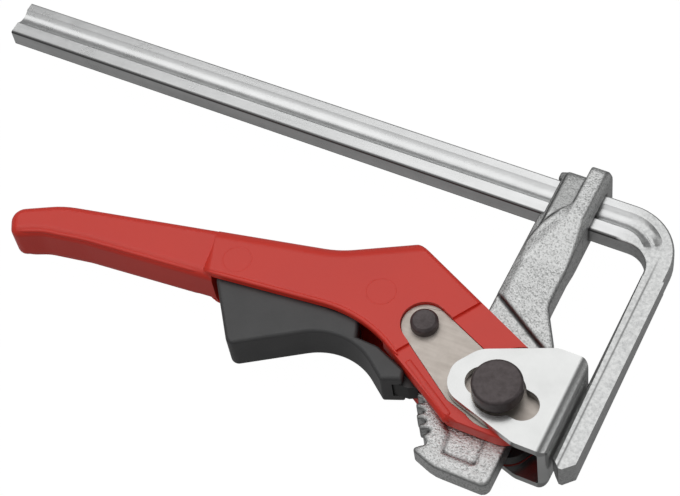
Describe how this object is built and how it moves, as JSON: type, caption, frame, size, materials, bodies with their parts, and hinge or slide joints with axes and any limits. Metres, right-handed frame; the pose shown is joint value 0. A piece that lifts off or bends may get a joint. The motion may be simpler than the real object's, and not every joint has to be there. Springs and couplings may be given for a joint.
{
  "type": "guide rail clamp",
  "caption": "Quick-action lever clamp with a hooked rail, toothed sliding arm, long hollow handle, release trigger and folded steel pressure shoe.",
  "frame": {"origin": "On the fixed jaw's clamping face, level with the handle's pivot pin, midway through the clamp's thickness.", "axes": "+X runs along the straight rail towards the fixed jaw, +Y from the handle to the rail, +Z through the thickness towards the pin's head."},
  "size_m": [0.235, 0.1093, 0.0304],
  "materials": {
    "zinc_steel": "zinc plated, slightly grainy",
    "cast_zinc": "zinc plated casting, grainy",
    "plate_steel": "bare pressed sheet",
    "dark_pin": "browned steel",
    "spring_steel": "plain",
    "pawl_steel": "hardened, plain",
    "red_plastic": "satin moulded",
    "black_plastic": "matt moulded"
  },
  "bodies": {
    "rail_body": {"rail": "zinc_steel"},
    "arm": {"sliding_arm": "cast_zinc", "pivot_pin": "dark_pin", "pin_retaining_ring": "spring_steel"},
    "handle_body": {"handle": "red_plastic", "side_plate_front": "plate_steel", "side_plate_back": "plate_steel", "trigger_rivet": "dark_pin", "trigger_spring": "spring_steel"},
    "shoe": {"pressure_shoe": "zinc_steel"},
    "trigger_body": {"trigger": "black_plastic", "ratchet_pawl": "pawl_steel", "pawl_pin": "spring_steel"}
  },
  "joints": [
    {"name": "arm_slide", "type": "slide", "parent": "rail_body", "child": "arm", "axis": [-1, 0, 0], "range_m": [0, 0.16]},
    {"name": "handle_pivot", "type": "hinge", "parent": "arm", "child": "handle_body", "pos_m": [-0.0205, 0, 0], "axis": [0, 0, 1], "range_deg": [0, 30]},
    {"name": "shoe_slide", "type": "slide", "parent": "arm", "child": "shoe", "axis": [-0.9829, 0.1839, 0], "range_m": [0, 0.0031]},
    {"name": "trigger_pivot", "type": "hinge", "parent": "handle_body", "child": "trigger_body", "pos_m": [-0.0496, 0.0131, 0], "axis": [0, 0, -1], "range_deg": [0, 8], "stiffness_Nm_per_rad": 0.5, "springref_deg": -17.19, "deforming": ["trigger_spring"]}
  ],
  "couplings": [
    {"joint": "shoe_slide", "follows": "handle_pivot", "m_per_rad": 0.0058}
  ]
}
